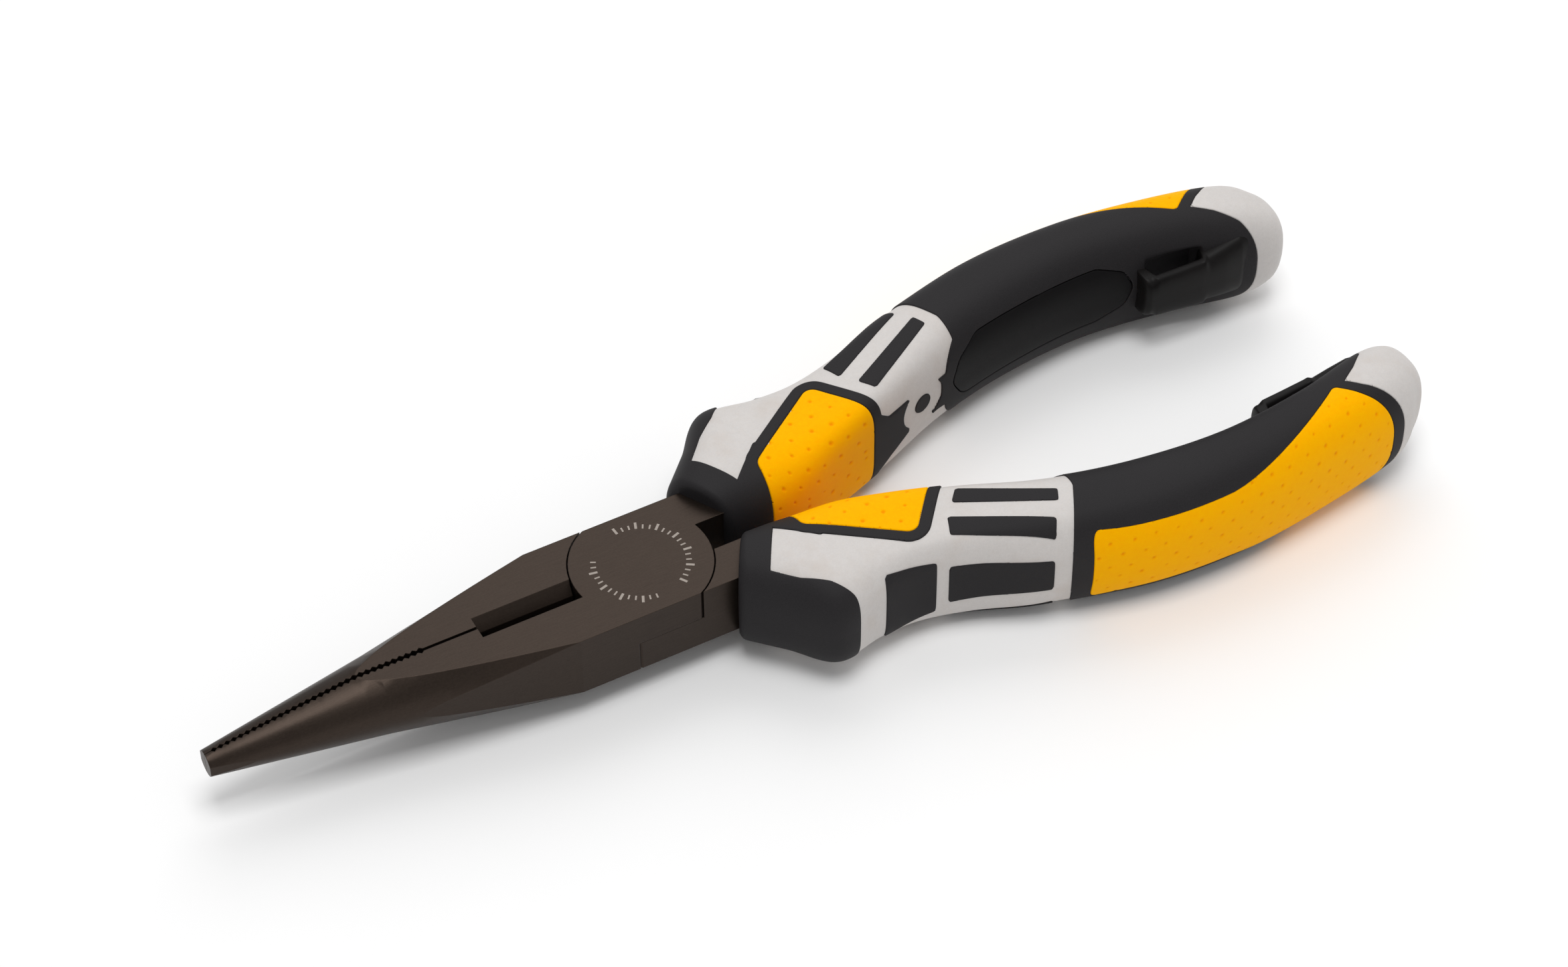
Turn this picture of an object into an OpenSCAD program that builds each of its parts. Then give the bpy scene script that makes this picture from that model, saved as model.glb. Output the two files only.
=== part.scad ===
// Needle nose pliers, about 200 mm long, with a side cutter and moulded grips.
// X runs along the closed pliers, from the jaw tips (-X) to the ends of the grips (+X).
// Y runs across the jaws and Z is up, along the pivot axis. The origin is on the pivot axis,
// in the lower flat face of the joint. Half A holds the jaw on the -Y side and the grip on the
// +Y side, and half B is the same forging turned over about the X axis.

/* [Head] */
// Distance from the pivot axis to the tips of the jaws
jaw_l = 71.5; // [66:0.5:86]
// Width of the head across the joint
head_w = 19.7; // [18.6:0.1:21]
// Thickness of the head at the joint
head_t = 11.5; // [10:0.1:13.6]
// Radius of the round lap on each half
lap_r = 11.05; // [10.6:0.05:12]
// Distance from the pivot axis to where the jaws start to narrow
shoulder_x = 15; // [13:0.5:18]
// Distance from the pivot axis to where the nose becomes fully round
round_x = 44; // [40:0.5:50]
// Radius of the nose where it becomes fully round
round_r = 6.2; // [5.8:0.1:6.6]
// Width of the closed nose at its tip
tip_w = 3.8; // [3:0.1:5]
// Radius that the nose is turned to at its tip
nose_r = 2.1; // [1.9:0.1:2.8]
// How far the sides of the nose bow out from straight lines
nose_belly = 0.6; // [0.1:0.1:1]

/* [Jaw faces] */
// Distance from the pivot axis to the rear end of the teeth
tooth_from = 36; // [32:0.5:44]
// Number of gripping teeth on each jaw
tooth_n = 32; // [20:1:40]
// Depth of the notches between the teeth
tooth_depth = 0.35; // [0.2:0.05:0.6]
// Gap from the rearmost tooth to the middle while the tips touch
rear_gap = 0.2; // [0:0.05:0.3]
// Gap from each jaw's smooth face to the middle, behind the teeth
slot_gap = 0.25; // [0.1:0.05:0.4]
// Distance from the pivot axis to the front of the side cutter
cutter_x = 27.3; // [24:0.1:30]
// Length of the open relief in front of the cutting edges
relief_l = 1.7; // [1:0.1:3]
// Width of the cutter's bevel on each jaw
bevel_w = 2.1; // [1.5:0.1:2.6]
// Depth of the bevel below the flat face, where it turns steep
bevel_depth = 2; // [1.2:0.1:3]
// Distance from the middle to where the bevel turns steep
throat_w = 0.5; // [0.3:0.05:0.8]
// Thickness of the cutting edges where the bevels meet
edge_t = 1.1; // [0.6:0.1:2]

/* [Joint] */
// Radius of the rivet
rivet_r = 3.5; // [3:0.1:4.2]
// Radius of the rivet's countersunk heads
rivet_head_r = 4.7; // [4.4:0.1:5.4]
// Running clearance round the rivet in half B
rivet_gap = 0.03; // [0.02:0.01:0.06]
// Gap between each round lap and the shoulder that it turns in
lap_gap = 0.2; // [0.15:0.05:0.4]
// Gap between the flat faces of the two laps
face_gap = 0.05; // [0.04:0.01:0.1]

/* [Shanks] */
// Distance from the middle to the inner edge of each shank
shank_in = 2.9; // [2.4:0.1:3.6]
// Width of the tang inside each grip
tang_w = 6; // [5:0.1:7]
// Thickness of the tang inside each grip
tang_t = 6; // [5:0.1:7.5]

/* [Grips] */
// How far the whole grip is moved along X from its usual place
grip_shift = 0; // [-1:0.5:12]
// How much higher each face of the grip is than usual
grip_swell = 0; // [-1:0.1:2]
// Thickness of the soft black shell over the hard core
shell_t = 1.8; // [1.4:0.1:2.2]
// Depth of the bars and of the side panel
inlay_t = 1; // [0.6:0.1:1.3]
// Width of the black collar in front of the pale zone
collar_w = 4.8; // [4:0.1:6]
// Width of the black border round the thumb pad
border_w = 1.9; // [1.2:0.1:2.4]
// Width of the black band between the palm pad and the end cap
band_w = 1.8; // [1:0.1:2.4]

/* [Tether bridge] */
// Thickness of the bridge's strap
strap_t = 2.2; // [1.8:0.1:2.8]
// Height of the bridge along Z
strap_h = 9.5; // [7:0.5:12]
// Length of the slot under the bridge
slot_l = 9.4; // [7:0.1:11]

/* [Hidden] */

mid_z = head_t / 2;
over = 1;                    // how far cutting tools pass the faces that they cut
fit_gap = 0.05;              // gap round a part that is moulded or pressed in
steel = "#4a423c";
rivet_steel = "#4a4540";
black = "#2b2a29";
pale = "#d9d5cd";
amber = "#f5a300";

// Ribs across the grip of half A, from the collar to the end cap, each as
// [inner x, inner y, outer x, outer y, half height]
ribs = [
    [16.3, 1.6, 10.0, 12.2, 8.8],
    [20.5, 1.5, 15.0, 18.6, 9.3],
    [24.5, 1.8, 21.5, 23.8, 9.4],
    [31.0, 3.2, 30.0, 22.0, 9.3],
    [38.5, 6.0, 37.0, 21.4, 9.3],
    [49.0, 9.9, 45.0, 23.3, 9.5],
    [60.0, 13.8, 56.0, 28.1, 9.9],
    [75.0, 17.4, 72.5, 32.4, 10.5],
    [90.0, 19.0, 90.0, 33.0, 10.7],
    [105.0, 17.5, 106.5, 31.0, 10.6],
    [117.0, 14.4, 118.6, 28.8, 9.8],
    [123.2, 14.2, 123.8, 25.4, 7.6],
    [126.2, 17.2, 126.3, 21.0, 3.0]
];
last_rib = len(ribs) - 1;
roundness = 2.5;             // 2 is an ellipse, and more is squarer

// ---------- curves ----------

// One value on a Catmull-Rom curve through p1 and p2, with t from 0 to 1 between them
function catmull(p0, p1, p2, p3, t) =
    0.5 * (2 * p1 + (p2 - p0) * t + (2 * p0 - 5 * p1 + 4 * p2 - p3) * t * t
        + (3 * p1 - p0 - 3 * p2 + p3) * t * t * t);

// The rib at station s, from 0 at the collar to last_rib at the end
function rib(s) =
    let (i = max(0, min(floor(s), last_rib - 1)), t = s - i,
         a = ribs[i], b = ribs[i + 1],
         before = i > 0 ? ribs[i - 1] : 2 * a - b,
         after = i + 2 <= last_rib ? ribs[i + 2] : 2 * b - a)
    catmull(before, a, b, after, t) + [grip_shift, 0, grip_shift, 0, grip_swell];

function rib_inner(r) = [r[0], r[1]];
function rib_outer(r) = [r[2], r[3]];
function rib_middle(r) = (rib_inner(r) + rib_outer(r)) / 2;

// x to the power e, keeping the sign of x
function signed_pow(x, e) = sign(x) * pow(abs(x), e);

// The closed ring of points at station s, inset from the grip's surface
function ring(s, inset, sides) =
    let (r = rib(s), c = rib_middle(r), span = rib_outer(r) - rib_inner(r),
         half_w = max(norm(span) / 2 - inset, 0.3), along = span / norm(span),
         half_h = max(r[4] - inset, 0.3))
    [for (k = [0:sides - 1])
        let (a = 360 * (k + 0.5) / sides,
             across = half_w * signed_pow(cos(a), 2 / roundness))
        [c[0] + along[0] * across, c[1] + along[1] * across,
         mid_z + half_h * signed_pow(sin(a), 2 / roundness)]];

// The solid inside the grip's surface, inset by a depth, between two stations
module skin(inset, from, to, rings, sides) {
    stations = [for (i = [0:rings]) from + (to - from) * i / rings];
    points = [for (s = stations) each ring(s, inset, sides)];
    last = rings * sides;
    faces = concat(
        [[for (k = [0:sides - 1]) k]],
        [[for (k = [0:sides - 1]) last + sides - 1 - k]],
        [for (i = [0:rings - 1]) for (k = [0:sides - 1])
            let (a = i * sides + k, b = i * sides + (k + 1) % sides)
            each [[b, a, a + sides], [b, a + sides, b + sides]]]
    );
    polyhedron(points, faces);
}

module grip_outside() skin(0, 0, last_rib, 36, 24);
module grip_inside(depth) skin(depth, -0.4, 11.2, 30, 20);

// A plan outline drawn up through the whole grip
module through_grip() {
    translate([0, 0, mid_z - 20]) linear_extrude(40) children();
}

// An outline in X and Z (Z from the middle), cut through between two values of Y
module through_side(y0, y1) {
    translate([0, y1, mid_z]) rotate([90, 0, 0]) linear_extrude(y1 - y0) children();
}

module rounded(r) offset(r = r) offset(delta = -r) children();

module turned_over() translate([0, 0, head_t]) rotate([180, 0, 0]) children();
module other_grip() mirror([0, 1, 0]) children();

// ---------- steel head ----------

tooth_pitch = (jaw_l - 1 - tooth_from) / tooth_n;
crest_gap = 0.05;            // from the crests of the teeth to the middle, at the tips
edge_gap = 0.03;             // from each cutting edge to the middle
relief_gap = 0.45;           // from each jaw's relief to the middle

// Where the crest of a tooth lies: the gap grows steadily from the tip to the rearmost tooth
function crest_y(x) = -crest_gap - rear_gap * (jaw_l + x) / (jaw_l - tooth_from);

// The inner face of half A's jaw: cutting edge, relief, smooth slot, then teeth to the tip
jaw_face = concat(
    [[0, -edge_gap], [-cutter_x + relief_l, -edge_gap],
     [-cutter_x + relief_l, -relief_gap], [-cutter_x, -relief_gap],
     [-cutter_x, -slot_gap], [-tooth_from, -slot_gap]],
    [for (i = [0:tooth_n - 1]) let (x = -tooth_from - (i + 0.5) * tooth_pitch) each [
        [x + 0.42 * tooth_pitch, crest_y(x)],
        [x, crest_y(x) - tooth_depth],
        [x - 0.42 * tooth_pitch, crest_y(x)]]],
    [[-jaw_l, -crest_gap]]
);

// The corners of half A's nose side, at the tip and at the shoulder
nose_side = [[-jaw_l, -tip_w / 2], [-shoulder_x, -head_w / 2]];

// Centre of the large circle through two points, whose arc between them bows out by a rise
function arc_radius(a, b, rise) = (norm(b - a) * norm(b - a) / 4 + rise * rise) / (2 * rise);
function arc_centre(a, b, rise) =
    let (d = (b - a) / norm(b - a))
    (a + b) / 2 + [-d[1], d[0]] * -(arc_radius(a, b, rise) - rise);

// Plan of half A's jaw: the side of the nose is one long arc from the tip to the shoulder
module jaw_plan() {
    intersection() {
        polygon(concat(jaw_face, [[-jaw_l, -head_w / 2], [0, -head_w / 2]]));
        union() {
            translate(arc_centre(nose_side[1], nose_side[0], nose_belly))
                circle(r = arc_radius(nose_side[1], nose_side[0], nose_belly), $fn = 1080);
            translate([-shoulder_x, -head_w]) square([shoulder_x, head_w]);
        }
    }
}

// The round lap, cut flat by the sides of the head
module lap_plan() {
    intersection() {
        circle(r = lap_r, $fn = 96);
        square([4 * lap_r, head_w], center = true);
    }
}

// Plan of the shank, from the joint into the collar
shank_end = 19.5;
module shank_plan() {
    polygon([
        [0, shank_in], [shank_end + grip_shift, shank_in],
        [shank_end - 3 + grip_shift, head_w / 2], [0, head_w / 2]
    ]);
}

// Middle line of the tang, from the shank along the middle of the grip
tang_line = concat(
    [[10, (shank_in + head_w / 2) / 2], [17 + grip_shift, 6.8], [24 + grip_shift, 9.6]],
    [for (s = [3.2:0.4:8.8]) rib_middle(rib(s))]
);

// Unit vector square to a line of points, at point i
function line_side(line, i) =
    let (a = line[max(i - 1, 0)], b = line[min(i + 1, len(line) - 1)], d = b - a)
    [-d[1], d[0]] / norm(d);

// A strip along a line of points, with a half width
function strip(line, half_w) = concat(
    [for (i = [0:len(line) - 1]) line[i] - half_w * line_side(line, i)],
    [for (i = [len(line) - 1:-1:0]) line[i] + half_w * line_side(line, i)]
);

module tang(gap) {
    translate([0, 0, mid_z - tang_t / 2 - gap])
        linear_extrude(tang_t + 2 * gap)
            polygon(strip(tang_line, tang_w / 2 + gap));
}

module shank(gap) {
    translate([0, 0, -gap]) linear_extrude(head_t + 2 * gap) {
        polygon([
            [8, shank_in - gap], [shank_end + grip_shift + gap, shank_in - gap],
            [shank_end - 3 + grip_shift + gap, head_w / 2 + gap], [8, head_w / 2 + gap]
        ]);
    }
}

// The room that the steel takes inside a grip
module tang_pocket() {
    tang(fit_gap);
    shank(fit_gap);
}

// The turned nose: a cone from the corners of the head at the shoulder to where the nose is
// fully round, and a slimmer cone from there to the tip
corner_r = norm([head_w / 2, head_t / 2]);
module turned_nose() {
    translate([0, 0, mid_z]) rotate([0, -90, 0]) {
        translate([0, 0, round_x])
            cylinder(h = jaw_l - round_x, r1 = round_r, r2 = nose_r, $fn = 96);
        translate([0, 0, shoulder_x])
            cylinder(h = round_x - shoulder_x, r1 = corner_r, r2 = round_r, $fn = 96);
        translate([0, 0, -40]) cylinder(h = 40 + shoulder_x, r = corner_r + 0.5, $fn = 96);
    }
}

// The bevels of the side cutter in half A's jaw, on both faces of the head. Each slopes gently
// from the face and then falls steeply to the cutting edge in the middle of the thickness.
module cutter_bevel() {
    for (up = [1, -1])
        translate([-cutter_x, 0, mid_z]) rotate([90, 0, 90]) linear_extrude(cutter_x)
            polygon([[over, up * edge_t / 2], [-edge_gap, up * edge_t / 2],
                     [-throat_w, up * (mid_z - bevel_depth)], [-bevel_w, up * mid_z],
                     [-bevel_w, up * (mid_z + over)], [over, up * (mid_z + over)]]);
}

// Half A of the head: a full jaw and shank, with the lap in the upper half only
module forging() {
    difference() {
        intersection() {
            union() {
                linear_extrude(head_t) {
                    jaw_plan();
                    shank_plan();
                }
                translate([0, 0, mid_z]) linear_extrude(mid_z) lap_plan();
            }
            turned_nose();
        }
        // the pocket below, where the other half's lap turns
        translate([0, 0, -over])
            cylinder(h = mid_z + face_gap / 2 + over, r = lap_r + lap_gap, $fn = 96);
        difference() {
            cutter_bevel();
            translate([0, 0, mid_z]) cylinder(h = head_t, r = lap_r, $fn = 96);
        }
    }
    difference() {
        tang(0);
        translate([0, 0, -over]) cylinder(h = head_t + 2 * over, r = lap_r + 1, $fn = 96);
    }
}

// The bore and its countersink, with a clearance, cut down from the upper face
sink_h = rivet_head_r - rivet_r;
module rivet_bore(gap) {
    translate([0, 0, -over]) cylinder(h = head_t + 2 * over, r = rivet_r + gap, $fn = 64);
    translate([0, 0, head_t - sink_h - gap])
        cylinder(h = sink_h + gap, r1 = rivet_r + gap, r2 = rivet_head_r + 2 * gap, $fn = 64);
}

module jaw_half_a() {
    color(steel) difference() {
        forging();
        rivet_bore(0);
    }
}

module jaw_half_b() {
    color(steel) turned_over() difference() {
        forging();
        rivet_bore(rivet_gap);
    }
}

// The rivet is pressed into half A and turns in half B
module pivot_rivet() {
    color(rivet_steel) {
        cylinder(h = head_t, r = rivet_r, $fn = 64);
        cylinder(h = sink_h, r1 = rivet_head_r, r2 = rivet_r, $fn = 64);
        translate([0, 0, head_t - sink_h])
            cylinder(h = sink_h, r1 = rivet_r, r2 = rivet_head_r, $fn = 64);
    }
}

// ---------- outlines on the grip of half A ----------

module thumb_pad_outline() {
    translate([grip_shift, 0]) rounded(1.8)
        polygon([[23.6, -6], [23.6, 7.3], [37.8, 17.3], [45.4, 8], [45.4, -6]]);
}

module thumb_border_outline() offset(r = border_w) thumb_pad_outline();

// The collar, in front of a line parallel to the grip's front face
module collar_outline() {
    r = rib(0);
    along = (rib_outer(r) - rib_inner(r)) / norm(rib_outer(r) - rib_inner(r));
    back = [along[1], -along[0]] * collar_w;
    polygon([
        rib_inner(r) - 10 * along + back, rib_outer(r) + 10 * along + back,
        rib_outer(r) + 10 * along - 2 * back, rib_inner(r) - 10 * along - 2 * back
    ]);
}

// The finger guard's lobe, on the outer side behind the collar
module lobe_outline() {
    translate([grip_shift, 0]) rounded(3)
        polygon([[10, 8], [14.4, 12.4], [21.8, 17.6], [25.4, 22.2], [25.4, 32], [6, 32]]);
}

// The black tongue behind the thumb pad, on the inner side
module tongue() {
    through_side(-6, 13.5) translate([grip_shift, 0])
        polygon([[44, -7.4], [44, 7.4], [47, 7.2], [52.2, 3.8], [52.2, -3.8], [47, -7.2]]);
}

module front_zone() {
    through_grip() {
        collar_outline();
        lobe_outline();
        thumb_border_outline();
    }
    tongue();
}

module rear_zone() {
    through_grip() translate([grip_shift, 0]) rounded(2.4)
        polygon([[59, 4], [59, 13], [64.4, 18.6], [57.6, 30.6], [57.6, 45], [145, 45], [145, 4]]);
}

module palm_pad_outline() {
    translate([grip_shift, 0]) rounded(1)
        polygon([[61.7, 28.3], [68, 29.9], [75, 30.9], [84, 31.2], [91, 30.3], [98, 28.1],
                 [104, 25.4], [108.6, 23], [112.4, 26], [117.6, 30], [121, 40], [61.7, 40]]);
}

module end_cap_outline() {
    translate([grip_shift, 0]) difference() {
        polygon([[118.4, 6], [117.4, 16.2], [110.4, 22.2], [114, 24.8], [119.2, 28.8],
                 [122, 45], [145, 45], [145, 6]]);
        translate([-grip_shift, 0]) offset(r = band_w) palm_pad_outline();
    }
}

module bar(x0, y0, x1, y1, x2, y2, x3, y3) {
    through_grip() translate([grip_shift, 0]) rounded(0.4)
        polygon([[x0, y0], [x1, y1], [x2, y2], [x3, y3]]);
}

// The flat bars on both faces, the side bar, the patch in front of it and the inner dot
module bar_tools() {
    bar(45.3, 14.6, 47.3, 12.2, 60.6, 20.2, 59.5, 22.4);
    bar(43.3, 16.8, 57.7, 24.9, 56.4, 27.2, 42, 20);
    through_side(19, 40) translate([grip_shift, 0]) rounded(0.5)
        polygon([[40.9, -4], [40.9, 4], [55.9, 3.2], [55.9, -3.2]]);
    through_side(17, 40) translate([grip_shift, 0]) rounded(0.5)
        polygon([[31.2, -7], [31.2, 7], [39, 5.4], [39, -5.4]]);
    through_side(5, 17) translate([56.2 + grip_shift, 1]) rotate([0, 0, 40])
        offset(r = 1) square([2.2, 0.6], center = true);
}

// The oval side panel on the inner side of the sleeve
panel_z = 1.4;
module side_panel_tool() {
    through_side(3, 21) translate([grip_shift, panel_z]) rounded(3)
        polygon([[62.4, -1], [65, -5.6], [92, -5.6], [97, -3.6], [98.6, 0], [97, 3.6], [92, 5.6],
                 [68, 5.6], [64, 3]]);
}

// Plan of the tether bridge, from its proud inner face down into the sleeve
strap_from = [98.4, 15.0];
strap_to = [118.6, 13.4];
module bridge_outline() {
    translate([grip_shift, 0]) polygon([
        strap_from + [1, -0.4], strap_to, [119.6, 16], [116, 21], [strap_from[0], 22], strap_from
    ]);
}

module tether_slot() {
    translate([grip_shift, 0, mid_z - 20]) linear_extrude(40)
        polygon([
            strap_from + [2.2, strap_t], strap_from + [2.2 + slot_l, strap_t - 0.7],
            [strap_from[0] + 2.2 + slot_l, 19.2], [strap_from[0] + 2.2, 19.8]
        ]);
}

module bridge_block() {
    translate([0, 0, mid_z - strap_h / 2]) linear_extrude(strap_h) bridge_outline();
}

// ---------- grip pieces of half A ----------

// The hard pale core round the tang, which shows between the black parts
module core() {
    color(pale) difference() {
        union() {
            intersection() {
                grip_inside(shell_t);
                through_grip() translate([grip_shift, 0]) polygon(
                    [[20.2, -10], [20.2, 5], [13.2, 18], [13.2, 40], [112, 40], [112, -10]]);
            }
            difference() {
                grip_outside();
                front_zone();
                rear_zone();
            }
        }
        intersection() {
            bar_tools();
            difference() {
                grip_outside();
                grip_inside(inlay_t);
            }
        }
        through_grip() offset(delta = fit_gap) end_cap_outline();
        tang_pocket();
        tether_slot();
    }
}

module shell_only() {
    difference() {
        grip_outside();
        grip_inside(shell_t);
    }
}

// The black collar, finger guard and thumb pad border
module guard() {
    color(black) difference() {
        intersection() {
            union() {
                shell_only();
                // the collar is solid down to the steel
                intersection() {
                    grip_outside();
                    through_grip() translate([grip_shift, 0])
                        polygon([[5, -5], [20.2, -5], [20.2, 5], [13.2, 18], [5, 18]]);
                }
            }
            front_zone();
        }
        through_grip() thumb_pad_outline();
        tang_pocket();
    }
}

module thumb_pad() {
    color(amber) intersection() {
        shell_only();
        through_grip() thumb_pad_outline();
    }
}

// The long black sleeve behind the pale zone
module sleeve() {
    color(black) difference() {
        intersection() {
            shell_only();
            rear_zone();
        }
        through_grip() palm_pad_outline();
        through_grip() end_cap_outline();
        difference() {
            side_panel_tool();
            grip_inside(inlay_t);
        }
        bridge_block();
        tether_slot();
    }
}

module palm_pad() {
    color(amber) difference() {
        intersection() {
            shell_only();
            through_grip() palm_pad_outline();
        }
        through_grip() end_cap_outline();
    }
}

module bars() {
    color(black) intersection() {
        difference() {
            grip_outside();
            grip_inside(inlay_t);
        }
        bar_tools();
    }
}

module side_panel() {
    color(black) intersection() {
        difference() {
            grip_outside();
            grip_inside(inlay_t);
        }
        side_panel_tool();
    }
}

module end_cap() {
    color(pale) intersection() {
        grip_outside();
        through_grip() end_cap_outline();
    }
}

// The strap stands on the sleeve in front and on the end cap behind, with the slot between
module tether_bridge() {
    color(black) difference() {
        bridge_block();
        grip_inside(shell_t);
        tether_slot();
        intersection() {
            grip_outside();
            through_grip() end_cap_outline();
        }
    }
}

jaw_half_a();
jaw_half_b();
pivot_rivet();
core();  // core_a
guard();  // guard_a
sleeve();  // sleeve_a
bars();  // bars_a
thumb_pad();  // thumb_pad_a
palm_pad();  // palm_pad_a
side_panel();  // side_panel_a
end_cap();  // end_cap_a
tether_bridge();  // tether_bridge_a
other_grip() core();  // core_b
other_grip() guard();  // guard_b
other_grip() sleeve();  // sleeve_b
other_grip() bars();  // bars_b
other_grip() thumb_pad();  // thumb_pad_b
other_grip() palm_pad();  // palm_pad_b
other_grip() side_panel();  // side_panel_b
other_grip() end_cap();  // end_cap_b
other_grip() tether_bridge();  // tether_bridge_b
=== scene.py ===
# %% [markdown]
# # Long nose pliers, around a fixed frame
#
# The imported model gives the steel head, the rivet and a plain solid for every piece of the two
# grips. This script keeps the steel as it is and gives it a real finish. It replaces the solids
# of the grips with smooth moulded surfaces that have rolled seams, dimples and inlays.
# Work is done in millimetres and turned into metres when a mesh is made.

# %% Load the frame
import math

import bpy
import numpy as np
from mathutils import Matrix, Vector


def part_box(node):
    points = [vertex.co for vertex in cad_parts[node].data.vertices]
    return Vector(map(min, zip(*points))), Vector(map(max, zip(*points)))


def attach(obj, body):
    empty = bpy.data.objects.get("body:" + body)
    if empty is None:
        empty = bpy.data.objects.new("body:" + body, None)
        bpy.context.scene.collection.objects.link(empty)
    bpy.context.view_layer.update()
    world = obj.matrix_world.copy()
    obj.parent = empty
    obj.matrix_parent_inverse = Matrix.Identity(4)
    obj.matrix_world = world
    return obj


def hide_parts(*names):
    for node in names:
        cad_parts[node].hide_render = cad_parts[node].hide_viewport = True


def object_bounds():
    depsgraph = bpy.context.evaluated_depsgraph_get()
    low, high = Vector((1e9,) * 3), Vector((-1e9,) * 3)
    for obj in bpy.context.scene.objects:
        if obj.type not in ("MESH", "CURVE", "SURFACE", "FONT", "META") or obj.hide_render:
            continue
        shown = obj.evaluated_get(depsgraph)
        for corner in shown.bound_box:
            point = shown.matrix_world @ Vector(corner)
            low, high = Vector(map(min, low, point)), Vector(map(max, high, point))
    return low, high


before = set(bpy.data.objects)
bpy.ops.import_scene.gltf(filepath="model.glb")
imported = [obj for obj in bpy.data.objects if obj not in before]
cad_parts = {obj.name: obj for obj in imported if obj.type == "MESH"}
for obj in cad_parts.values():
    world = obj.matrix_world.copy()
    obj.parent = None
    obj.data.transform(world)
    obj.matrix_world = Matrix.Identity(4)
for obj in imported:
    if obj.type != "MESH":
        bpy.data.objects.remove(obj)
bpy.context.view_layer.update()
MM = 0.001


def node_box(node):
    """A node's lowest and highest corners, in millimetres."""
    return [np.array(corner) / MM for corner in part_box(node)]


HEAD_T = node_box("pivot_rivet")[1][2]
MID_Z = HEAD_T / 2
print("head is", round(HEAD_T, 2), "mm thick, grips end at", round(node_box("end_cap_a")[1][0], 2))

# %% [markdown]
# ## Camera
#
# A long lens far away keeps the two grips nearly parallel. A camera could be aimed with a
# constraint, but three plain angles are easier to read and repeat. So it is placed by its
# direction, its distance and the point that it looks at.

# %% Camera
AZIMUTH, ELEVATION, ROLL = 27.956, 47.0, -0.55   # degrees
TARGET = np.array([29.4, 9.3, 4.9])              # the point that it looks at, in millimetres
DISTANCE = 652.7                                 # from the target, in millimetres
LENS, SENSOR_W = 96.66, 36                       # focal length and sensor width


def make_camera():
    """Looks along forward = (sin az cos el, cos az cos el, -sin el), with the horizon rolled."""
    azimuth, elevation = math.radians(AZIMUTH), math.radians(ELEVATION)
    backward = -np.array([
        math.sin(azimuth) * math.cos(elevation),
        math.cos(azimuth) * math.cos(elevation),
        -math.sin(elevation),
    ])
    data = bpy.data.cameras.new("camera")
    data.lens, data.sensor_width = LENS, SENSOR_W
    data.clip_start, data.clip_end = 0.01, 10
    camera = bpy.data.objects.new("camera", data)
    bpy.context.scene.collection.objects.link(camera)
    camera.location = (TARGET + backward * DISTANCE) * MM
    camera.rotation_euler = (math.radians(90 - ELEVATION), 0, -azimuth)
    camera.rotation_euler.rotate_axis("Z", math.radians(ROLL))
    bpy.context.scene.camera = camera
    print("camera stands", DISTANCE, "mm away with a", LENS, "mm lens")


make_camera()
# The plain tone curve keeps strong colours such as the amber as they are.
bpy.context.scene.view_settings.view_transform = "Standard"

# %% [markdown]
# ## Socket arithmetic
#
# A finish needs sums of noise, masks and blends. They could be wired up node by node, but shader
# maths reads best as ordinary expressions. A small class wraps a socket, and each operator adds
# the Math node that does it. Every other node comes from `Finish.node`.


# %% Sockets
class Value:
    """A number that varies over the surface: the output of a node in one material."""

    def __init__(self, finish, socket):
        self.finish, self.socket = finish, socket

    def _math(self, operation, *values):
        return self.finish.node("Math", {"operation": operation}, *values)

    def __add__(self, other):
        return self._math("ADD", self, other)

    def __radd__(self, other):
        return self._math("ADD", other, self)

    def __sub__(self, other):
        return self._math("SUBTRACT", self, other)

    def __rsub__(self, other):
        return self._math("SUBTRACT", other, self)

    def __mul__(self, other):
        return self._math("MULTIPLY", self, other)

    def __rmul__(self, other):
        return self._math("MULTIPLY", other, self)

    def clamp(self):
        """Kept between 0 and 1."""
        return self.finish.node("Clamp", {}, self)


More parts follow.
